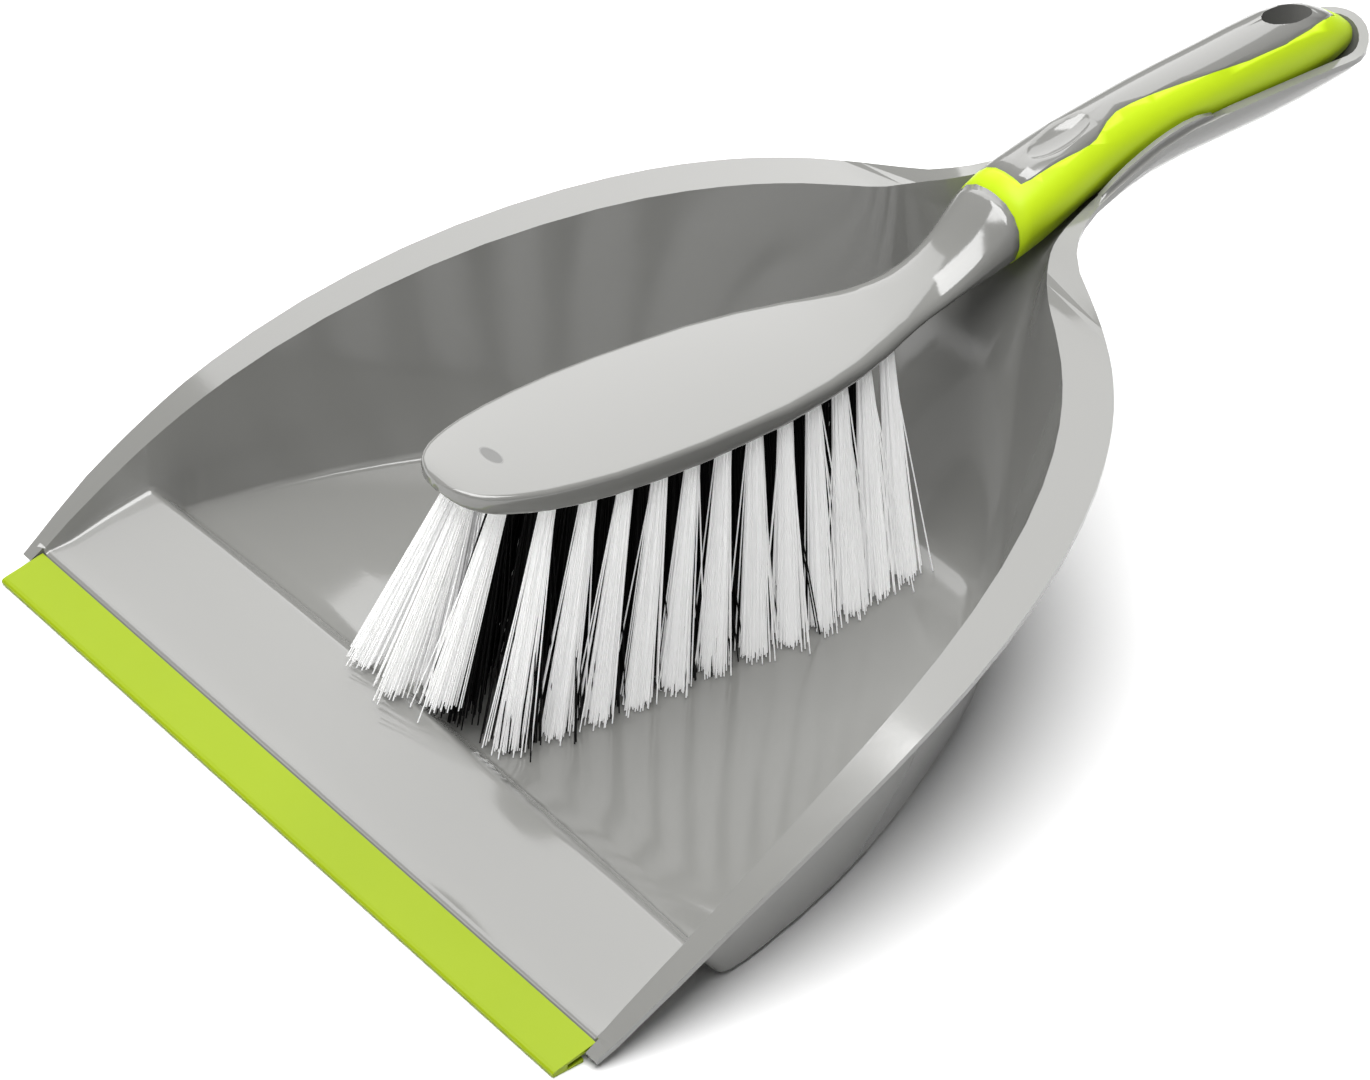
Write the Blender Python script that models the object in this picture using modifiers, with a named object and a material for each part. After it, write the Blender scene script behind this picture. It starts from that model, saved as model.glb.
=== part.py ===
# Dust pan with a hand brush lying in it, its handle clipped into the pan's trough handle.
# Metres, +Z up, +Y towards the handles, the pan's front edge at -Y.  Both share one frame.
import math
import bpy
import bmesh
import numpy as np
from mathutils import Matrix, Vector

for old in list(bpy.data.objects):
    bpy.data.objects.remove(old, do_unlink=True)

# ---------------------------------------------------------------- driving sizes
pan_width = 0.2300        # over the rim flange
set_length = 0.3535       # lip to the end of the trough handle
grip_top_height = 0.1135  # top of the brush handle above the ground
sheet = 0.0018            # wall of the pan moulding
lip_length = 0.2172       # rubber lip, end to end
lip_depth = 0.0123        # rubber lip, front to back
grip_half = 0.0098        # half width of the brush handle where it lies in the trough
trough_gap = 0.0005       # handle to trough, each side
trough_bead = 0.0008      # rim bead outside the trough wall
grip_wall = 0.0018        # soft grip
fit_gap = 0.0003          # between pieces that touch
tuft_root = 0.0052        # tuft across at the head
tuft_tip = 0.0086         # tuft across at the floor
hole_depth = 0.0045       # blind tuft holes in the head
tuft_edge = 0.0044        # outer rows in from the head's edge
hang_length = 0.0174      # hang hole along the handle
hang_width = 0.0086
snap_rise = 0.0024        # side tabs above the trough rim

kx = pan_width / 230.0    # metres per table unit, one for each axis
ky = (set_length - grip_half - trough_gap - sheet - trough_bead) / 340.6
kz = grip_top_height / 113.5


def table(rows, column, step):
    """Smooth curve without overshoot through one column of a table."""
    ys = np.array([r[0] for r in rows], float)
    vs = np.array([r[column] for r in rows], float)
    d = np.diff(vs) / np.diff(ys)
    m = np.zeros(len(ys))
    for i in range(1, len(ys) - 1):
        if d[i - 1] * d[i] > 0:
            m[i] = 2 * d[i - 1] * d[i] / (d[i - 1] + d[i])
    m[0], m[-1] = d[0], d[-1]

    def value(y):
        y = min(max(y, ys[0]), ys[-1])
        i = min(int(np.searchsorted(ys, y, side="right")) - 1, len(ys) - 2)
        h = ys[i + 1] - ys[i]
        t = (y - ys[i]) / h
        a = vs[i] * (2 * t ** 3 - 3 * t ** 2 + 1) + m[i] * h * (t ** 3 - 2 * t ** 2 + t)
        b = vs[i + 1] * (3 * t ** 2 - 2 * t ** 3) + m[i + 1] * h * (t ** 3 - t ** 2)
        return float(a + b) * step
    return value


def plain(name, colour, rough, metal=0.0):
    mat = bpy.data.materials.new(name)
    mat.use_nodes = True
    node = mat.node_tree.nodes["Principled BSDF"]
    node.inputs["Base Color"].default_value = (*colour, 1.0)
    node.inputs["Roughness"].default_value = rough
    node.inputs["Metallic"].default_value = metal
    mat.diffuse_color = (*colour, 1.0)
    return mat


grey_plastic = plain("grey_polypropylene", (0.40, 0.40, 0.385), 0.30)
lime_rubber = plain("lime_rubber", (0.42, 0.60, 0.02), 0.55)
dark_fibre = plain("dark_bristle", (0.018, 0.018, 0.016), 0.45)
white_fibre = plain("white_bristle", (0.80, 0.80, 0.79), 0.50)

parts = bpy.data.collections.new("dust_pan_and_brush")
cutters = bpy.data.collections.new("cutters")
bpy.context.scene.collection.children.link(parts)
bpy.context.scene.collection.children.link(cutters)


def node(name, bm, mat, where=None):
    bmesh.ops.recalc_face_normals(bm, faces=bm.faces)
    mesh = bpy.data.meshes.new(name)
    bm.to_mesh(mesh)
    bm.free()
    ob = bpy.data.objects.new(name, mesh)
    if mat is not None:
        mesh.materials.append(mat)
    (where or parts).objects.link(ob)
    if where is cutters:
        ob.hide_render = True
        ob.display_type = "WIRE"
    return ob


def boolean(ob, other, how):
    mod = ob.modifiers.new(how.lower() + "_" + other.name, "BOOLEAN")
    mod.operation = how
    mod.solver = "EXACT"
    mod.object = other


def skin(rings, closed=True):
    """A closed skin over rings that all have the same number of points."""
    bm = bmesh.new()
    grid = [[bm.verts.new(p) for p in ring] for ring in rings]
    n = len(grid[0])
    for a, b in zip(grid[:-1], grid[1:]):
        for j in range(n if closed else n - 1):
            bm.faces.new((a[j], a[(j + 1) % n], b[(j + 1) % n], b[j]))
    if closed:
        bm.faces.new(grid[0][::-1])
        bm.faces.new(grid[-1])
    return bm


def prism(outline, low, high):
    """Upright solid on a plan outline; low and high may be numbers or one value a point."""
    n = len(outline)
    low = low if isinstance(low, list) else [low] * n
    high = high if isinstance(high, list) else [high] * n
    bottom = [(x, y, z) for (x, y), z in zip(outline, low)]
    top = [(x, y, z) for (x, y), z in zip(outline, high)]
    return skin([bottom, top])


def bar(profile, half):
    """A y-z profile run straight across from -half to +half."""
    return skin([[(-half, y, z) for y, z in profile], [(half, y, z) for y, z in profile]])


# ---------------------------------------------------------------- pan moulding
# y, half width of the flange's outer edge, its height
outer_rows = [(9, 112.4, 3.0), (14.3, 113.2, 6.4), (20, 113.8, 10.6), (33, 114.8, 19.4), (57, 115.0, 32.7),
              (83, 113.3, 43.6), (110, 109.4, 52.5), (136.6, 103.1, 59.8), (160.8, 94.4, 65.7),
              (181.7, 83.7, 70.6), (198.8, 71.4, 74.5), (211.7, 58.0, 77.7), (220.4, 45.0, 80.3),
              (225.4, 35.1, 82.5), (228.8, 27.2, 84.8), (232.4, 22.4, 86.8), (240, 17.2, 88.9),
              (252, 14.2, 91.8), (275, 13.5, 98.8), (290, 13.5, 100.3), (331, 13.5, 100.4), (341, 13.5, 100.2)]
# y, half width of the wall's top, its height
inner_rows = [(9, 108.4, 3.2), (14.3, 108.5, 6.6), (20, 108.6, 10.8), (33.6, 108.6, 19.4), (57, 107.2, 32.7),
              (82.3, 104.2, 43.6), (108.4, 99.3, 52.5), (133.4, 92.3, 59.8), (156.1, 83.4, 65.7),
              (175.3, 73.1, 70.6), (190.6, 61.8, 74.5), (201.9, 50.3, 77.7), (210, 39.1, 80.3),
              (215.1, 30.8, 82.5), (218.4, 26.4, 84.5), (222, 22.8, 86.0), (228.1, 18.2, 87.4),
              (238.4, 14.2, 88.7), (252, 11.9, 91.8), (275, 11.0, 98.8), (290, 10.9, 100.3),
              (331, 10.9, 100.4), (341, 10.9, 100.2)]
# y, half width at the foot of the wall, height of the floor, radius between floor and wall
floor_rows = [(9, 108.2, 2.4, 0.4), (12.7, 107.8, 4.3, 0.8), (13.3, 107.8, 4.5, 0.8), (13.8, 107.8, 4.85, 0.8),
              (14.5, 107.7, 4.85, 0.8), (30, 106.5, 9.3, 1.6), (41.6, 105.5, 12.65, 2.0),
              (42.6, 105.3, 12.9, 2.0), (43.7, 105.2, 12.5, 2.0), (52.6, 104.7, 3.0, 2.0),
              (53.6, 104.7, 2.1, 2.0), (54.8, 104.7, 1.8, 2.0), (67, 102.9, 1.8, 2.0), (82.5, 99.7, 1.8, 2.2),
              (99, 95.3, 1.8, 2.4),
              (109, 92.0, 1.8, 2.6), (118, 88.7, 1.8, 2.8), (129, 84.2, 1.8, 3.2), (148, 75.8, 1.8, 4.4),
              (160, 69.8, 1.8, 6.0), (169, 64.4, 1.8, 8.0), (182, 55.2, 1.8, 11.0), (190, 48.6, 1.9, 13.0),
              (198, 41.2, 3.6, 14.0), (204, 35.4, 8.5, 15.0), (209, 30.2, 18.0, 15.0), (214, 25.0, 32.0, 14.5),
              (219, 20.0, 47.0, 13.0), (224, 16.4, 60.0, 12.0), (229, 13.8, 69.2, 11.0), (235, 12.4, 75.0, 10.4),
              (240, 11.6, 78.2, 10.0), (251, 10.5, 82.3, 9.8), (260, 10.3, 84.8, 9.6), (270, 10.2, 86.5, 9.6),
              (281, 10.2, 87.5, 9.6), (300, 10.2, 88.0, 9.6), (314, 10.2, 88.4, 9.6), (326, 10.2, 89.6, 9.4),
              (334, 10.2, 91.2, 9.2), (341, 10.2, 93.6, 9.2)]
outer_half, outer_z = table(outer_rows, 1, kx), table(outer_rows, 2, kz)
inner_half, inner_z = table(inner_rows, 1, kx), table(inner_rows, 2, kz)
foot_half, floor_table, foot_radius = (table(floor_rows, 1, kx), table(floor_rows, 2, kz),
                                       table(floor_rows, 3, kx))
ridge_bow = 2.5           # the ramp's crest bows this far back at the middle
trough_end = 340.6        # centre of the trough's round end, table units
trough_half = grip_half + trough_gap


def floor_z(y):
    return max(floor_table(y), sheet)


def half_section(y):
    """Inner surface from the middle of the floor out to the flange edge, as (x, z)."""
    blend = min(max((y - 236.0) / 24.0, 0.0), 1.0)
    a = inner_half(y) * (1 - blend) + max(trough_half + (inner_half(y) - inner_half(300)), trough_half) * blend
    o = outer_half(y) * (1 - blend) + (a + max(outer_half(y) - inner_half(y), sheet + trough_bead)) * blend
    b = foot_half(y) * (1 - blend) + (a - 0.0007) * blend
    z0, z1, z2 = floor_z(y), inner_z(y), outer_z(y)
    wall = Vector((a - b, z1 - z0))
    wall.normalize()
    turn = math.acos(max(min(wall.x, 1.0), -1.0))          # from the floor's direction to the wall's
    radius = min(foot_radius(y), 0.94 * b / math.tan(turn / 2), 0.85 * (z1 - z0) / (1 - math.cos(turn)))
    t = radius * math.tan(turn / 2)
    pts = [((b - t) * k / 4, z0) for k in range(5)]
    for k in range(1, 6):
        g = turn * k / 5
        pts.append((b - t + radius * math.sin(g), z0 + radius * (1 - math.cos(g))))
    x5, z5 = pts[-1]
    pts += [(x5 + (a - x5) * k / 3, z5 + (z1 - z5) * k / 3) for k in (1, 2, 3)]
    pts.append((o, z2))
    return pts


front_row = (lip_depth + 0.0004) / ky
stations = [9, 11.5, 12.9, 13.3, 13.8, 14.5, 20, 30, 38, 41.6, 42.2, 42.7, 43.2, 44, 48, 52.4, 53.4, 54.6,
            60, 68, 80, 94, 108, 122, 136, 150, 163, 174, 183, 190, 195.5, 200, 204, 207.5, 210.5,
            213.2, 215.8, 218.2, 220.6, 223, 225.6, 228.4, 231.6,
            235.4, 240, 246, 252, 260, 270, 282, 296, 312, 325, 334, trough_end]
bm = bmesh.new()
columns = []
for y in stations:
    half = half_section(y)
    reach = half[4][0]
    bow = ridge_bow * math.exp(-((y - 50.0) / 16.0) ** 2)
    columns.append([bm.verts.new((x, ky * (y + (bow * max(1 - (x / reach) ** 2, 0.0))), z)) for x, z in half])
end_y = ky * trough_end
last = half_section(trough_end)
for k in range(1, 8):
    g = math.pi / 2 * k / 7
    lift = 0.0034 * kz * 1000 * math.sin(g) ** 2         # the end wall stands higher
    columns.append([bm.verts.new((x * math.cos(g), end_y + x * math.sin(g), z + lift * (i / 13) ** 2))
                    for i, (x, z) in enumerate(last)])
for a, b in zip(columns[:-1], columns[1:]):
    for j in range(len(a) - 1):
        bm.faces.new((a[j], a[j + 1], b[j + 1], b[j]))
bmesh.ops.remove_doubles(bm, verts=bm.verts, dist=1e-6)
bmesh.ops.recalc_face_normals(bm, faces=bm.faces)
middle = min(bm.faces, key=lambda f: (f.calc_center_median() - Vector((0.02, 0.12, 0))).length)
if middle.normal.z < 0:
    bmesh.ops.reverse_faces(bm, faces=bm.faces)
mesh = bpy.data.meshes.new("pan_shell")
bm.to_mesh(mesh)
bm.free()
mesh.materials.append(grey_plastic)
pan_shell = bpy.data.objects.new("pan_shell", mesh)
parts.objects.link(pan_shell)
mirror = pan_shell.modifiers.new("other_half", "MIRROR")
mirror.use_clip = True
mirror.merge_threshold = 0.00005
solid = pan_shell.modifiers.new("wall", "SOLIDIFY")
solid.thickness = sheet
solid.offset = -1.0
solid.use_even_offset = True
solid.use_rim = True

# the front is cut back and carries a thinner tongue that the rubber lip is pushed on to
lip_half = lip_length / 2
front = front_row * ky
rear = front + 0.0056
rebate = node("lip_rebate", bar([(-0.01, -0.01), (front, -0.01), (front, 0.05), (-0.01, 0.05)],
                                lip_half + 0.0004), None, cutters)
ramp_top, rear_top = floor_z(front_row), floor_z(rear / ky) - 0.0005
tongue = [(0.0046, 0.00075), (0.0110, 0.0016), (rear, rear_top - 0.0012),
          (rear, rear_top), (front + 0.0004, ramp_top - 0.0013), (0.0046, 0.00145)]
tongue_bar = node("lip_tongue", bar(tongue, lip_half - 0.0022), None, cutters)
boolean(pan_shell, rebate, "DIFFERENCE")
boolean(pan_shell, tongue_bar, "UNION")

# spring tabs standing up from the trough rim at both sides
for side, label in ((1, "right"), (-1, "left")):
    rings = []
    for k in range(9):
        y = 249.0 + 40.0 * k / 8
        sec = half_section(y)
        x, z = sec[12]
        rise = snap_rise * min(1.0, 4.0 * min(k + 0.6, 8.6 - k) / 8)
        rings.append([(side * x, ky * y, z - 0.003), (side * (x + 0.0015), ky * y, z - 0.003),
                      (side * (x + 0.0015), ky * y, z + rise), (side * (x + 0.0002), ky * y, z + rise)])
    tab = node("snap_tab_" + label, skin(rings), None, cutters)
    boolean(pan_shell, tab, "UNION")

# ---------------------------------------------------------------- rubber lip
lip_profile = [(0.0006, 0.0), (0.0090, 0.0), (0.0090, 0.00105), (0.0043, 0.00042), (0.0043, 0.00175),
               (lip_depth, ramp_top - 0.00105), (lip_depth, ramp_top), (0.0012, 0.0018),
               (0.0004, 0.0015), (0.0, 0.0011), (0.0, 0.0004)]
pan_lip = node("pan_lip", bar(lip_profile, lip_half), lime_rubber)

# ---------------------------------------------------------------- brush outline
# y, half width, underside, top, top corner radii (x, z), bottom corner radii (x, z)
brush_rows = [(47.4, 1.3, 77.6, 78.9, 0.8, 0.5, 0.8, 0.5), (47.5, 2.4, 77.2, 79.3, 1.1, 0.8, 0.9, 0.7),
              (47.8, 4.0, 76.8, 79.65, 1.3, 1.1, 1.0, 0.9), (48.3, 5.7, 76.3, 79.85, 1.5, 1.2, 1.2, 1.1),
              (49.1, 7.5, 75.8, 80.0, 1.6, 1.3, 1.4, 1.3), (50.5, 9.6, 75.2, 80.0, 1.6, 1.3, 1.6, 1.5),
              (52.6, 11.6, 74.5, 79.86, 1.6, 1.3, 1.8, 1.7), (55.2, 13.3, 73.9, 79.7, 1.6, 1.3, 2.0, 1.9),
              (58.5, 14.8, 73.4, 79.5, 1.6, 1.3, 2.0, 2.0), (62.5, 16.2, 72.9, 79.3, 1.6, 1.3, 2.0, 2.0),
              (68.0, 17.7, 72.3, 79.0, 1.6, 1.3, 1.8, 2.0), (76.0, 19.2, 71.7, 78.6, 1.6, 1.3, 1.6, 1.8),
              (86.0, 20.5, 71.1, 78.0, 1.6, 1.3, 1.6, 1.6), (98.0, 21.3, 70.5, 77.5, 1.6, 1.3, 1.6, 1.6),
              (112.0, 21.6, 69.9, 76.8, 1.6, 1.4, 1.8, 1.6), (125.0, 21.3, 69.4, 76.2, 1.7, 1.5, 2.2, 2.0),
              (140.0, 20.9, 69.0, 75.6, 2.2, 1.9, 2.8, 2.6), (155.0, 19.1, 68.6, 75.0, 2.6, 2.2, 3.6, 3.2),
              (168.0, 16.7, 68.4, 74.6, 3.4, 2.6, 4.4, 3.4), (178.0, 14.1, 68.5, 74.6, 4.6, 3.1, 5.0, 3.4),
              (186.0, 11.8, 69.0, 75.1, 5.8, 3.6, 5.2, 3.2), (193.0, 10.3, 69.9, 76.1, 7.0, 4.2, 5.6, 3.0),
              (200.0, 9.6, 71.1, 77.6, 8.0, 5.0, 6.2, 3.2), (206.0, 9.6, 72.4, 80.0, 8.4, 6.0, 6.8, 4.0),
              (212.0, 10.2, 73.6, 84.2, 9.0, 7.8, 7.8, 5.4), (218.0, 11.2, 74.6, 90.6, 9.8, 9.4, 9.2, 7.4),
              (222.6, 11.9, 75.4, 95.4, 10.6, 10.4, 10.6, 9.2), (230.0, 12.1, 77.2, 99.2, 10.4, 10.8, 11.2, 10.2),
              (239.0, 11.7, 80.3, 102.2, 10.0, 10.4, 11.0, 10.4), (248.0, 10.8, 83.6, 105.0, 9.6, 9.8, 10.4, 10.2),
              (262.0, 9.8, 86.4, 107.9, 9.0, 9.4, 9.6, 9.8), (276.0, 9.8, 88.3, 109.7, 8.8, 9.2, 9.6, 9.8),
              (290.0, 9.8, 88.9, 110.9, 8.6, 9.0, 9.6, 9.8), (304.0, 9.8, 89.1, 112.0, 8.6, 9.0, 9.6, 9.8),
              (316.0, 9.8, 89.6, 113.3, 8.6, 9.2, 9.6, 9.8), (324.0, 9.7, 90.5, 113.5, 8.5, 9.2, 9.5, 9.8),
              (332.0, 9.3, 92.0, 112.3, 8.0, 8.8, 9.1, 8.8), (339.0, 8.2, 94.0, 109.6, 7.0, 7.0, 8.0, 7.0),
              (345.0, 6.6, 95.6, 106.2, 5.8, 4.8, 6.4, 5.0), (348.0, 5.0, 97.0, 104.4, 4.6, 3.4, 4.8, 3.4),
              (349.6, 3.4, 98.4, 103.0, 3.2, 2.2, 3.2, 2.2)]
grip_scale = grip_half / 9.8
columns = [table(brush_rows, c, 1.0) for c in range(1, 8)]


def place_along(y):
    """Place along the set; past the trough's end centre the handle's end keeps to its own width."""
    return ky * min(y, trough_end) + grip_scale * max(y - trough_end, 0.0)


def brush_section(y, inset=0.0, per=5):
    """One closed ring across the brush at y, drawn in by inset."""
    w, zb, zt, rxt, rzt, rxb, rzb = [c(y) for c in columns]
    mix = min(max((y - 236.0) / 24.0, 0.0), 1.0)
    sx = kx * (1 - mix) + grip_scale * mix
    w = max(w * sx - inset, 0.0012)
    zb, zt = zb * kz + inset, zt * kz - inset
    if zt - zb < 0.0024:
        mid = (zt + zb) / 2
        zb, zt = mid - 0.0012, mid + 0.0012
    rxt, rxb = [min(max(r * sx - inset, 0.0006), w * 0.96) for r in (rxt, rxb)]
    rzt, rzb = [min(max(r * kz - inset, 0.0006), (zt - zb) * 0.48) for r in (rzt, rzb)]
    ring = []
    for cx, cz, rx, rz, g0 in ((w - rxb, zb + rzb, rxb, rzb, -90), (w - rxt, zt - rzt, rxt, rzt, 0),
                               (-w + rxt, zt - rzt, rxt, rzt, 90), (-w + rxb, zb + rzb, rxb, rzb, 180)):
        for k in range(per + 1):
            g = math.radians(g0 + 90 * k / per)
            ring.append((cx + rx * math.cos(g), place_along(y), cz + rz * math.sin(g)))
    return ring


def brush_loft(ys, inset=0.0, per=5):
    return skin([brush_section(y, inset, per) for y in ys])


ring_at = 222.6
head_ys = [47.4, 47.5, 47.8, 48.3, 49.1, 50.5, 52.6, 55.2, 58.5, 62.5, 68, 76, 86, 98, 112, 125, 140, 155,
           168, 178, 186, 192, 197, 202, 206, 210, 214, 217.5, 220.5, ring_at]
grip_ys = [ring_at + 0.3, 227, 233, 240, 248, 255, 262, 272, 284, 297, 309, 320, 328, 335, 340, 344, 347.2, 349.6]
core_ys = [ring_at - 3.0, 227, 233, 240, 248, 255, 262, 272, 284, 297, 309, 320, 328, 335, 340, 344, 347]

brush_body = node("brush_body", brush_loft(head_ys, 0.0, 4), grey_plastic)
core = node("handle_core", brush_loft(core_ys, grip_wall + fit_gap, 4), None, cutters)
boolean(brush_body, core, "UNION")

# the hard top of the handle comes up through a window in the soft grip
window_rows = [(228.5, 4.2), (231, 4.9), (236, 5.2), (241, 5.6), (246, 6.3), (250, 6.5), (253.5, 5.4), (257, 4.0),
               (262, 3.0), (275, 4.0), (290, 5.7), (305, 7.0), (318, 7.4), (328, 6.5), (336, 4.4), (342.5, 1.8)]
window_half = table(window_rows, 1, grip_scale)
zt_at, zb_at = columns[2], columns[1]


def window_block(extra):
    """Block over the window; its far side runs down past the widest part that shows from above."""
    rings = []
    for y in (228.5, 231, 234, 238, 242, 246, 249, 251.5, 254, 257, 261, 266, 275, 290, 305, 318, 328, 336, 342.5):
        y += -extra / ky if y == 228.5 else extra / ky if y == 342.5 else 0.0
        right = window_half(y) + extra
        left = -0.895 * columns[0](y) * (kx if y < 248 else grip_scale) - extra
        low = kz * (0.5 * zb_at(y) + 0.5 * zt_at(y)) - 1.5 * extra
        high = kz * (zt_at(y) + 8.0)
        at = place_along(y)
        rings.append([(right, at, low), (right, at, high), (left, at, high), (left, at, low)])
    return skin(rings)


hard_top = node("handle_top", brush_loft(grip_ys[1:-1], 0.0, 5), None, cutters)
window_tool = node("window_core", window_block(0.0), None, cutters)
boolean(hard_top, window_tool, "INTERSECT")
boolean(brush_body, hard_top, "UNION")

# blind holes, one for each tuft
head_half = columns[0]


def edge_x(y):
    return max(head_half(y) * kx - tuft_edge, 0.0)


rows = []                 # kind, number, x, y, and where the tip goes from there
first_y, last_y, count = 61.5, 183.2, 13
pitch = (last_y - first_y) / (count - 1)
tuft_rows = [(57, 3.0), (61.5, 7.2), (70, 12.0), (80, 14.8), (90, 16.5), (100, 17.1)]
nose_x = table(tuft_rows, 1, kx)
lean_rows = [(61, -12.0, 0.6), (70, -10.4, 2.6), (80, -7.6, 2.6), (90, -5.8, 2.8), (100, -3.6, 3.0),
             (110, -2.2, 3.2), (120, -0.4, 3.6), (130, 1.5, 5.0), (141, 3.0, 6.8), (152, 3.8, 8.6),
             (165, 4.1, 10.2), (184, 4.8, 12.0)]
lean_y, lean_x = table(lean_rows, 1, ky), table(lean_rows, 2, kx)


def row_x(y):
    return min(edge_x(y), nose_x(y)) if y < 100 else edge_x(y)


for k in range(count):
    y = first_y + pitch * k
    if k == 0:
        rows.append(("near", 1, row_x(y), y, -4.0 * kx, -11.5 * ky))
        rows.append(("far", 1, -row_x(y), y, -13.0 * kx, -16.0 * ky))
    else:
        rows.append(("near", k + 1, row_x(y), y, lean_x(y), lean_y(y)))
        rows.append(("far", k + 1, -row_x(y), y, -lean_x(y), lean_y(y)))
rows.append(("front", 1, 0.0, 57.6, -7.5 * kx, -14.0 * ky))
for k in range(9):
    for side, number in ((1, 2 * k + 1), (-1, 2 * k + 2)):
        y = 75.2 + pitch * (k + 0.25 - 0.25 * side)         # the two inner rows are staggered
        rows.append(("inner", number, side * row_x(y) * 0.335, y, side * lean_x(y) * 0.34, lean_y(y)))
for number, y in ((1, 68.8), (2, 169.0), (3, 178.8)):
    rows.append(("middle", number, 0.0, y, 0.0, lean_y(y)))


def tuft_ends(x, y, lean_across, lean_along):
    """Middle of the root and of the tip, which stops just above the pan."""
    tx, ty = x + lean_across, ky * y + lean_along
    under = kz * zb_at(y)
    spots = [(ty + s * tuft_tip / 2) / ky - bow for s in (-1.1, -0.5, 0.0, 0.5, 1.1) for bow in (0.0, ridge_bow)]
    tip = max(floor_z(y) for y in spots) + fit_gap + 0.0001
    return Vector((x, ky * y, under)), Vector((tx, ty, tip))


def round_bar(low, high, r_low, r_high, sides=12):
    turns = [2 * math.pi * (k + 0.5) / sides for k in range(sides)]
    return [[(c.x + r * math.cos(g), c.y + r * math.sin(g), c.z) for g in turns]
            for c, r in ((low, r_low), (high, r_high))]


holes = bmesh.new()
tufts = []
for kind, number, x, y, across, back in rows:
    root, tip = tuft_ends(x, y, across, back)
    along = (root - tip).normalized()
    step = along / along.z
    depth = min(hole_depth, 0.60 * kz * (zt_at(y) - zb_at(y)))
    deep = root + step * (depth + fit_gap)
    low = root - step * 0.0030
    for ring in [round_bar(low, deep, tuft_root / 2 + 0.0003 + fit_gap, tuft_root / 2 + fit_gap)]:
        lower = [holes.verts.new(p) for p in ring[0]]
        upper = [holes.verts.new(p) for p in ring[1]]
        for k in range(12):
            holes.faces.new((lower[k], lower[(k + 1) % 12], upper[(k + 1) % 12], upper[k]))
        holes.faces.new(lower[::-1])
        holes.faces.new(upper)
    tufts.append((kind, number, root, tip, root + step * depth))
hole_tool = node("tuft_holes", holes, None, cutters)
boolean(brush_body, hole_tool, "DIFFERENCE")

# hang hole right through the handle, thumb dish on top, shallow gate dish on the head
hang_y = 325.6


def hang_outline():
    """An oval, as plan points."""
    turns = [2 * math.pi * (k + 0.5) / 28 for k in range(28)]
    return [(hang_width / 2 * math.cos(g), ky * hang_y + hang_length / 2 * math.sin(g)) for g in turns]


hang_tool = node("hang_hole", prism(hang_outline(), 0.05, 0.17), None, cutters)
boolean(brush_body, hang_tool, "DIFFERENCE")


def dish(name, x, y, z, across, along, deep):
    bm = bmesh.new()
    bmesh.ops.create_uvsphere(bm, u_segments=20, v_segments=10, radius=1.0)
    bmesh.ops.scale(bm, verts=bm.verts, vec=(across / 2, along / 2, deep))
    bmesh.ops.rotate(bm, verts=bm.verts, cent=(0, 0, 0),
                     matrix=Matrix.Rotation(math.radians(16), 3, "X"))
    bmesh.ops.translate(bm, verts=bm.verts, vec=(x, y, z))
    return node(name, bm, None, cutters)


thumb = dish("thumb_dish", -0.0004, ky * 244.5, kz * (zt_at(244.5) + 1.5), 0.0112, 0.0250, 0.0034)
boolean(brush_body, thumb, "DIFFERENCE")

# ---------------------------------------------------------------- soft grip
soft_grip = node("soft_grip", brush_loft(grip_ys, 0.0, 5), lime_rubber)
cavity = node("grip_cavity", brush_loft([ring_at - 4.0] + core_ys[1:] + [347.4], grip_wall, 4), None, cutters)
window_gap = node("window_gap", window_block(fit_gap), None, cutters)
boolean(soft_grip, cavity, "DIFFERENCE")
boolean(soft_grip, window_gap, "DIFFERENCE")
boolean(soft_grip, hang_tool, "DIFFERENCE")

# ---------------------------------------------------------------- bristle tufts
for kind, number, root, tip, top in tufts:
    rings = round_bar(tip, top, tuft_tip / 2, tuft_root / 2)
    mid = root.copy()
    rings.insert(1, round_bar(mid, mid, tuft_root / 2, tuft_root / 2)[0])
    fibre = dark_fibre if kind in ("inner", "middle") else white_fibre
    node("tuft_%s_%02d" % (kind, number), skin(rings), fibre)

# the origin is the middle of the footprint, on the ground; the brush lifts straight up from here
for ob in list(parts.objects) + list(cutters.objects):
    ob.location.y -= set_length / 2
bpy.context.view_layer.update()
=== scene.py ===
# Looks of a dust pan with its hand brush: moulded plastic, soft rubber and loose bristle filaments
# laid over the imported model.  Metres, +Z up, the pan's lip at -Y.
import math
import random
import bmesh
import bpy
from mathutils import Matrix, Vector
from mathutils.bvhtree import BVHTree


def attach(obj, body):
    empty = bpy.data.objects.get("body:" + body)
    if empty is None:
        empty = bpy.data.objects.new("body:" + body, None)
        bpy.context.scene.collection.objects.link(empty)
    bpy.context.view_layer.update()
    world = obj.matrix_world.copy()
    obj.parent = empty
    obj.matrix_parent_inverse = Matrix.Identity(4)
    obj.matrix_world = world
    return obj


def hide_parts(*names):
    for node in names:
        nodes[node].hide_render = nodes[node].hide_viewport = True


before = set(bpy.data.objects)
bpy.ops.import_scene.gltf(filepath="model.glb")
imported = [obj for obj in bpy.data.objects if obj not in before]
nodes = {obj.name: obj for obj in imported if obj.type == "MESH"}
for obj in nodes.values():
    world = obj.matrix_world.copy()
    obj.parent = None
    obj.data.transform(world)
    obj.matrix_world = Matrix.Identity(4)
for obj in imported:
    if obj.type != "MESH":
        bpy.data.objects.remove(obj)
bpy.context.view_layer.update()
print("frame loaded:", len(nodes), "nodes")


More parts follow.
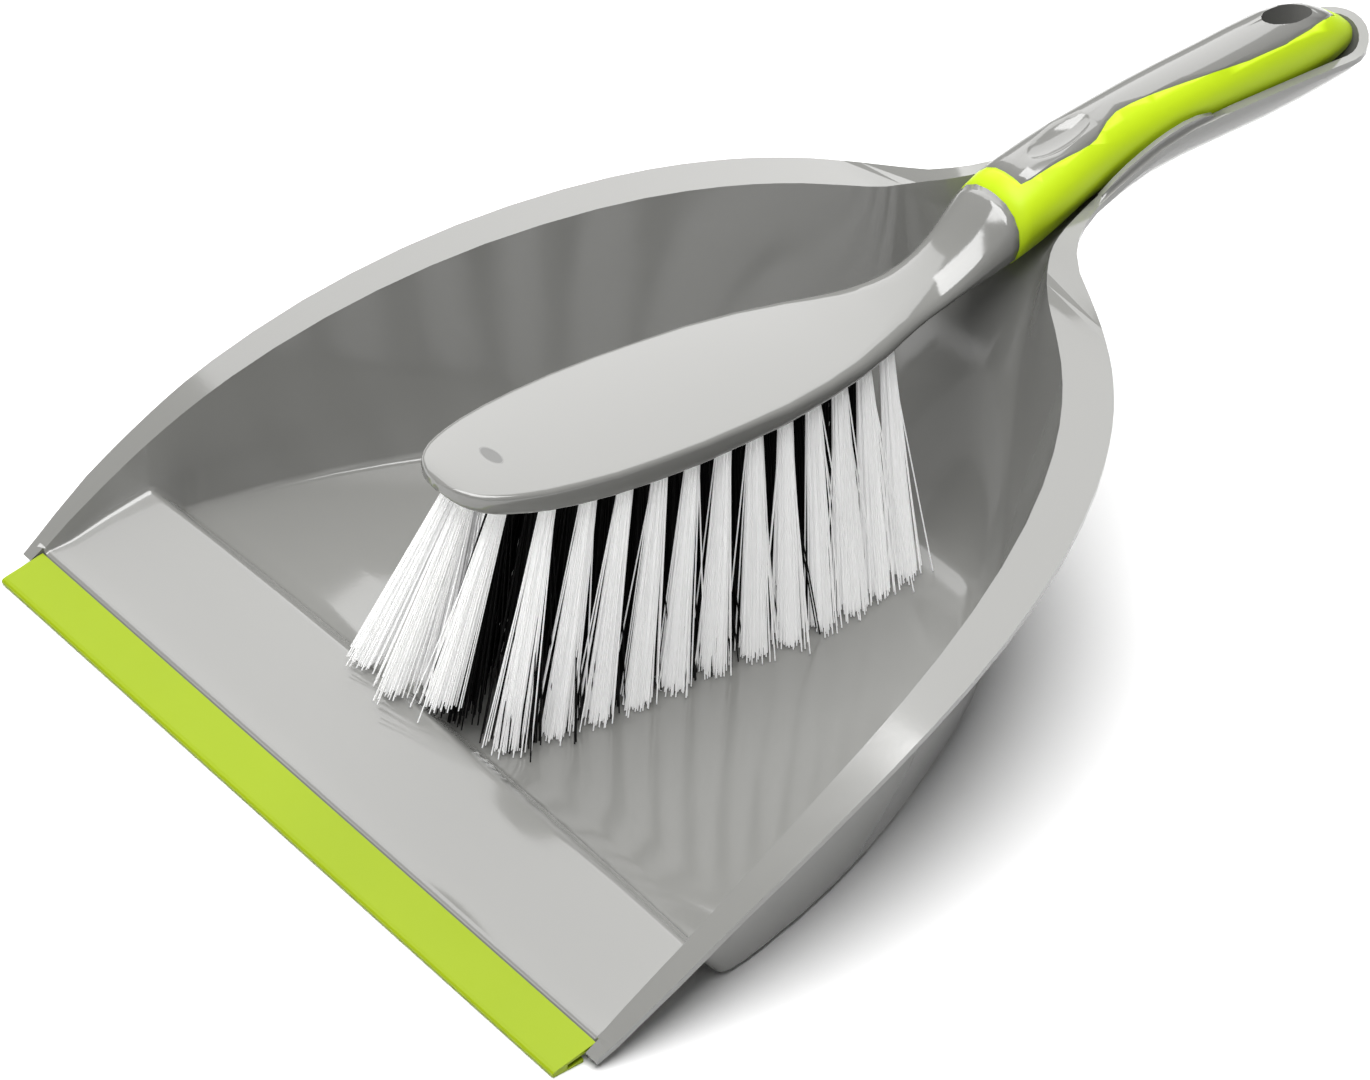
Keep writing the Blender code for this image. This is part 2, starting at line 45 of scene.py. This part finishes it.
class Link:  # one socket, so that sums on it add Math nodes
    def __init__(self, tree, socket):
        self.tree = tree
        self.socket = socket

    def node(self, kind, settings=None, **inputs):
        made = self.tree.nodes.new("ShaderNode" + kind)
        for name, value in (settings or {}).items():
            if name == "stops":
                ramp = made.color_ramp.elements
                while len(ramp) < len(value):
                    ramp.new(0.5)
                for element, (place, shade) in zip(ramp, value):
                    element.position = place
                    element.color = (shade, shade, shade, 1.0)
            else:
                setattr(made, name, value)
        for name, value in inputs.items():
            # i0, i1 and so on are sockets by number, the rest by name
            key = int(name[1:]) if name[1:].isdigit() else name
            plug(self.tree, made.inputs[key], value)
        return made

    def maths(self, operation, *values):
        made = self.node("Math", {"operation": operation}, **{"i%d" % i: v for i, v in enumerate(values)})
        return Link(self.tree, made.outputs[0])

    def __add__(self, other):
        return self.maths("ADD", self, other)

    def __sub__(self, other):
        return self.maths("SUBTRACT", self, other)

    def __mul__(self, other):
        return self.maths("MULTIPLY", self, other)

    def __pow__(self, other):
        return self.maths("POWER", self, other)


def plug(tree, socket, value):
    if isinstance(value, Link):
        tree.links.new(value.socket, socket)
    else:
        socket.default_value = value


class Finish(Link):  # a material with its Principled shader, reading object coordinates
    def __init__(self, name, colour, roughness, **shader):
        self.material = bpy.data.materials.new(name)
        self.material.use_nodes = True
        self.material.diffuse_color = (*colour, 1.0)
        super().__init__(self.material.node_tree, None)
        self.shader = self.tree.nodes["Principled BSDF"]
        self.shader.inputs["Base Color"].default_value = (*colour, 1.0)
        self.shader.inputs["Roughness"].default_value = roughness
        for key, value in shader.items():
            self.shader.inputs[key.replace("_", " ")].default_value = value
        place = self.node("TexCoord")
        self.place = Link(self.tree, place.outputs["Object"])

    def noise(self, scale, detail=2.0, roughness=0.5, stretch=(1.0, 1.0, 1.0)):
        spot = self.node("Mapping", {}, Vector=self.place, Scale=stretch)
        where = Link(self.tree, spot.outputs[0])
        made = self.node("TexNoise", {}, Vector=where, Scale=scale, Detail=detail, Roughness=roughness)
        return Link(self.tree, made.outputs["Fac"])

    def between(self, mask, first, second):
        made = self.node("Mix", {"data_type": "RGBA"}, i0=mask, i6=(*first, 1.0), i7=(*second, 1.0))
        return Link(self.tree, made.outputs[2])

    def feed(self, name, value):
        plug(self.tree, self.shader.inputs[name], value)

    def bump(self, height, distance, strength):
        made = self.node("Bump", {}, Height=height, Distance=distance, Strength=strength)
        self.feed("Normal", Link(self.tree, made.outputs["Normal"]))


# Noise mixes each base colour between light and dark, and moves the roughness over its swing.
# Shine is the specular level, and glow a faint emission: painted light that brightens the white bristles in
# place of the light scattered through the fibres.
plasticLook = {"light": (0.208, 0.208, 0.198), "dark": (0.182, 0.182, 0.173), "roughness": 0.10,
               "swing": 0.10, "flowScale": 9.0, "smearScale": 70.0, "waveScale": 26.0,
               "grainScale": 900.0, "grainShare": 0.12, "waveHeight": 0.00012, "waveStrength": 0.35}
rubberLook = {"light": (0.455, 0.615, 0.014), "dark": (0.420, 0.585, 0.009), "roughness": 0.42, "shine": 0.22,
              "swing": 0.16, "cloudScale": 30.0, "smearScale": 160.0, "grainScale": 1500.0,
              "grainHeight": 0.000020, "grainStrength": 0.6}
# The lip is the same lime rubber with its colour darkened as painted shade, so it reads darker than the grip
# under the same lamps.
shadedLipLook = {**rubberLook, "light": (0.250, 0.335, 0.005), "dark": (0.228, 0.312, 0.004), "roughness": 0.40}
whiteLook = {"light": (0.97, 0.97, 0.97), "dark": (0.90, 0.90, 0.90), "roughness": 0.45,
             "swing": 0.2, "shine": 0.4, "glow": 0.13, "streakScale": 420.0}
# Black filaments for the inner rows: partly the bristles' own colour, partly painted shade filling the deep
# shade between the white tufts.
darkShadeLook = {**whiteLook, "light": (0.006, 0.006, 0.006), "dark": (0.002, 0.002, 0.002), "roughness": 0.50,
            "shine": 0.15, "glow": 0.0}
gateMark = {"place": (-0.001, -0.1122), "across": 0.0040, "along": 0.0021, "above": 0.045,
            "shade": (0.12, 0.12, 0.115), "dulled": 0.35}


def ovalMask(f, mark):
    # 1 inside the oval left by the moulding gate, on the top of the head only
    parts = f.node("SeparateXYZ", {}, Vector=f.place)
    x, y, z = [Link(f.tree, parts.outputs[k]) for k in range(3)]
    over = (x - mark["place"][0]) * (1.0 / mark["across"])
    down = (y - mark["place"][1]) * (1.0 / mark["along"])
    inside = f.node("ValToRGB", {"stops": [(0.70, 1.0), (1.0, 0.0)]}, Fac=over ** 2 + down ** 2)
    return Link(f.tree, inside.outputs["Color"]) * f.maths("GREATER_THAN", z, mark["above"])


def mouldedPlastic(name, look, mark=None):
    f = Finish(name, look["light"], look["roughness"], IOR=1.72)
    flow = f.noise(look["flowScale"], 3.0, 0.55, (1.0, 0.45, 1.0))
    shade = f.between(flow, look["dark"], look["light"])
    smear = f.noise(look["smearScale"], 4.0, 0.6, (1.0, 0.3, 1.0))
    roughness = smear * look["swing"] + (look["roughness"] - look["swing"] / 2)
    if mark:
        gate = ovalMask(f, mark)
        tint = f.node("Mix", {"data_type": "RGBA"}, i0=gate, i6=shade, i7=(*mark["shade"], 1.0))
        shade = Link(f.tree, tint.outputs[2])
        roughness = roughness + gate * mark["dulled"]
    f.feed("Base Color", shade)
    f.feed("Roughness", roughness)
    waves = f.noise(look["waveScale"], 1.0, 0.4)
    grain = f.noise(look["grainScale"], 1.0, 0.5)
    f.bump(grain * look["grainShare"] + waves, look["waveHeight"], look["waveStrength"])
    return f.material


def softRubber(name, look):
    f = Finish(name, look["light"], look["roughness"], IOR=1.47, Specular_IOR_Level=look["shine"])
    cloud = f.noise(look["cloudScale"], 3.0, 0.5)
    f.feed("Base Color", f.between(cloud, look["dark"], look["light"]))
    smear = f.noise(look["smearScale"], 3.0, 0.6)
    f.feed("Roughness", smear * look["swing"] + (look["roughness"] - look["swing"] / 2))
    f.bump(f.noise(look["grainScale"], 2.0, 0.6), look["grainHeight"], look["grainStrength"])
    return f.material


def bristleFibre(name, look):
    # the emission is painted light, brightening the bristles as if lit from within
    f = Finish(name, look["light"], look["roughness"], IOR=1.45, Emission_Color=(1.0, 1.0, 1.0, 1.0),
               Emission_Strength=look["glow"], Specular_IOR_Level=look["shine"])
    streak = f.noise(look["streakScale"], 2.0, 0.5, (1.0, 1.0, 0.06))
    f.feed("Base Color", f.between(streak, look["dark"], look["light"]))
    f.feed("Roughness", streak * look["swing"] + (look["roughness"] - look["swing"] / 2))
    return f.material


greyPlastic = mouldedPlastic("greyPlastic", plasticLook)
brushPlastic = mouldedPlastic("brushPlastic", plasticLook, gateMark)
limeRubber = softRubber("limeRubber", rubberLook)
limeLip = softRubber("limeLip", shadedLipLook)
whiteBristle = bristleFibre("whiteBristle", whiteLook)
darkBristle = bristleFibre("darkBristle", darkShadeLook)
print("finishes made")


# smooth is the angle, in degrees, past which an edge stays crisp
mouldings = {
    "pan_shell": {"name": "panShell", "body": "pan", "slot": "grey_plastic",
                  "finish": greyPlastic, "smooth": 32.0},
    "pan_lip": {"name": "panLip", "body": "pan", "slot": "lime_rubber",
                "finish": limeLip, "smooth": 20.0},
    "brush_body": {"name": "brushBody", "body": "brush", "slot": "grey_plastic",
                   "finish": brushPlastic, "smooth": 42.0},
    "soft_grip": {"name": "softGrip", "body": "brush", "slot": "lime_rubber",
                  "finish": limeRubber, "smooth": 42.0},
}
mergeDistance = 0.00001
joinAngles = {"face": 12.0, "shape": 60.0}


def addPiece(name, bm, finish, body):
    mesh = bpy.data.meshes.new(name)
    bm.to_mesh(mesh)
    bm.free()
    mesh.materials.append(finish)
    piece = bpy.data.objects.new(name, mesh)
    bpy.context.scene.collection.objects.link(piece)
    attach(piece, body)
    return piece


def smoothPiece(piece, degrees):
    piece.data.polygons.foreach_set("use_smooth", [True] * len(piece.data.polygons))
    piece.data.set_sharp_from_angle(angle=math.radians(degrees))


def mouldingFrom(node, values):
    bm = bmesh.new()
    bm.from_mesh(nodes[node].data)
    bmesh.ops.remove_doubles(bm, verts=bm.verts, dist=mergeDistance)
    bmesh.ops.dissolve_degenerate(bm, edges=bm.edges, dist=mergeDistance)
    bmesh.ops.join_triangles(bm, faces=bm.faces, angle_face_threshold=math.radians(joinAngles["face"]),
                             angle_shape_threshold=math.radians(joinAngles["shape"]))
    piece = addPiece(values["name"], bm, values["finish"], values["body"])
    smoothPiece(piece, values["smooth"])
    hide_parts(node)


for node, values in mouldings.items():
    mouldingFrom(node, values)
print("mouldings made")


# Spreads are radii about the tuft's axis. A stray filament leaves it, and uneven shortens the tips at random.
whiteTuft = {"count": 130, "thickness": 0.00038, "rootSpread": 0.0017, "tipSpread": 0.0026, "fan": 1.5,
             "outward": 0.0, "strayShare": 0.08, "straySpread": 0.0036, "clear": 0.00015, "uneven": 0.0026,
             "tipShare": 0.92, "smooth": 75.0}
# The dark tufts splay wider and lean outward so their black tips show between the white tips on the floor:
# painted shadow under the brush.
darkShadeTuft = {**whiteTuft, "count": 120, "thickness": 0.00042, "tipSpread": 0.0052, "outward": 0.0075,
            "strayShare": 0.04}

# Points within endBand of a tuft's top or bottom belong to that end. Tufts within midBand of the middle
# line aren't pushed outward. The golden angle spaces the filaments evenly over the hole.
bristleFit = {"endBand": 0.0004, "midBand": 0.001, "tipDrop": 0.0001, "castMargin": 0.01,
              "goldenAngle": 2.399963, "jitter": 0.3}

panBm = bmesh.new()
panBm.from_mesh(nodes["pan_shell"].data)
panSurface = BVHTree.FromBMesh(panBm)
panBm.free()


def tuftAxis(node):
    points = [v.co for v in nodes[node].data.vertices]
    low = min(p.z for p in points)
    high = max(p.z for p in points)
    foot = [p for p in points if p.z < low + bristleFit["endBand"]]
    crown = [p for p in points if p.z > high - bristleFit["endBand"]]
    return sum(crown, Vector()) / len(crown), sum(foot, Vector()) / len(foot)


def addFilament(bm, start, end, values):
    turn = (end - start).to_track_quat("Z", "Y").to_matrix().to_4x4()
    radius = values["thickness"] * 0.5
    bmesh.ops.create_cone(bm, cap_ends=True, segments=5, radius1=radius, radius2=radius * values["tipShare"],
                          depth=(end - start).length, matrix=Matrix.Translation((start + end) / 2) @ turn)


def filamentEnd(start, aim, level, values, chance):
    way = (aim - start).normalized()
    reach = (start.z - level) / -way.z
    found = panSurface.ray_cast(start, way, reach + bristleFit["castMargin"])
    if found[0] is not None:
        reach = min(reach, found[3])  # stops at the pan
    return start + way * (reach - values["clear"] - chance.random() ** 2 * values["uneven"])


def tuftFrom(node, chance):
    # the inner and middle rows get the black filaments, which also paint the shade between the tufts
    dark = node.startswith(("tuft_inner", "tuft_middle"))
    values = darkShadeTuft if dark else whiteTuft
    crown, foot = tuftAxis(node)
    bm = bmesh.new()
    for k in range(values["count"]):
        radius = math.sqrt((k + 0.5) / values["count"])
        turn = k * bristleFit["goldenAngle"] + chance.uniform(-bristleFit["jitter"], bristleFit["jitter"])
        spot = Vector((math.cos(turn), math.sin(turn), 0.0)) * radius
        start = crown + spot * values["rootSpread"]
        aim = foot + spot * values["tipSpread"] * (1.0 + values["fan"] * chance.random() ** 3)
        if abs(foot.x) > bristleFit["midBand"]:
            aim.x += math.copysign(values["outward"], foot.x)
        if chance.random() < values["strayShare"]:
            aim += Vector((chance.gauss(0, 0.5), chance.gauss(0, 1), 0)) * values["straySpread"]
        end = filamentEnd(start, aim, foot.z - bristleFit["tipDrop"], values, chance)
        addFilament(bm, start, end, values)
    name = "bristles" + node[4:].title().replace("_", "")
    finish, slot = (darkBristle, "dark_bristle") if dark else (whiteBristle, "white_bristle")
    piece = addPiece(name, bm, finish, "brush")
    smoothPiece(piece, values["smooth"])
    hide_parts(node)


chance = random.Random(7)
for node in sorted(n for n in nodes if n.startswith("tuft_")):
    tuftFrom(node, chance)
print("bristles made")


ground = {"size": 3.0, "sunk": 0.0001, "colour": (0.86, 0.86, 0.86), "roughness": 0.6}
bm = bmesh.new()
bmesh.ops.create_grid(bm, x_segments=4, y_segments=4, size=ground["size"])
bmesh.ops.translate(bm, verts=bm.verts, vec=(0, 0, -ground["sunk"]))
mesh = bpy.data.meshes.new("floor")
bm.to_mesh(mesh)
bm.free()
floorFinish = Finish("paleFloor", ground["colour"], ground["roughness"])
mesh.materials.append(floorFinish.material)
floor = bpy.data.objects.new("floor", mesh)
bpy.context.scene.collection.objects.link(floor)

softboxes = {
    "back": {"place": (-0.75, 0.44, 0.93), "size": (1.5, 1.1), "watts": 13.0},
    "overhead": {"place": (0.08, -0.42, 1.50), "size": (1.45, 1.4), "watts": 45.0},
    "front": {"place": (1.0, -0.9, 0.7), "size": (0.8, 0.8), "watts": 0.5},
}
middle = Vector((0.0, 0.0, 0.04))
for name, box in softboxes.items():
    data = bpy.data.lights.new(name, "AREA")
    data.shape = "RECTANGLE"
    data.size, data.size_y = box["size"]
    data.energy = box["watts"]
    lamp = bpy.data.objects.new(name, data)
    lamp.location = box["place"]
    lamp.rotation_mode = "QUATERNION"
    lamp.rotation_quaternion = (middle - Vector(box["place"])).to_track_quat("-Z", "Y")
    bpy.context.scene.collection.objects.link(lamp)

bpy.context.scene.view_settings.view_transform = "Standard"
fillStrength = 0.09
world = bpy.data.worlds.new("studio")
bpy.context.scene.world = world
world.use_nodes = True
world.node_tree.nodes["Background"].inputs["Color"].default_value = (1.0, 1.0, 1.0, 1.0)
world.node_tree.nodes["Background"].inputs["Strength"].default_value = fillStrength

cameraSetup = {"place": (0.69463, -0.71784, 0.76334), "azimuth": 46.03, "elevation": 37.36, "roll": 5.76,
               "lens": 128.86, "sensor": 36.0, "near": 0.05, "far": 20.0}


def addCamera(setup):
    azimuth, elevation, roll = [math.radians(setup[k]) for k in ("azimuth", "elevation", "roll")]
    flat = math.cos(elevation)
    back = Vector((math.sin(azimuth) * flat, -math.cos(azimuth) * flat, math.sin(elevation)))
    right = Vector((math.cos(azimuth), math.sin(azimuth), 0.0))
    up = back.cross(right)
    across = right * math.cos(roll) + up * math.sin(roll)
    upward = up * math.cos(roll) - right * math.sin(roll)
    data = bpy.data.cameras.new("camera")
    data.lens = setup["lens"]
    data.sensor_width = setup["sensor"]
    data.clip_start = setup["near"]
    data.clip_end = setup["far"]
    camera = bpy.data.objects.new("camera", data)
    turned = Matrix((across, upward, back)).transposed().to_4x4()
    camera.matrix_world = Matrix.Translation(setup["place"]) @ turned
    bpy.context.scene.collection.objects.link(camera)
    bpy.context.scene.camera = camera


addCamera(cameraSetup)
print("stage made")
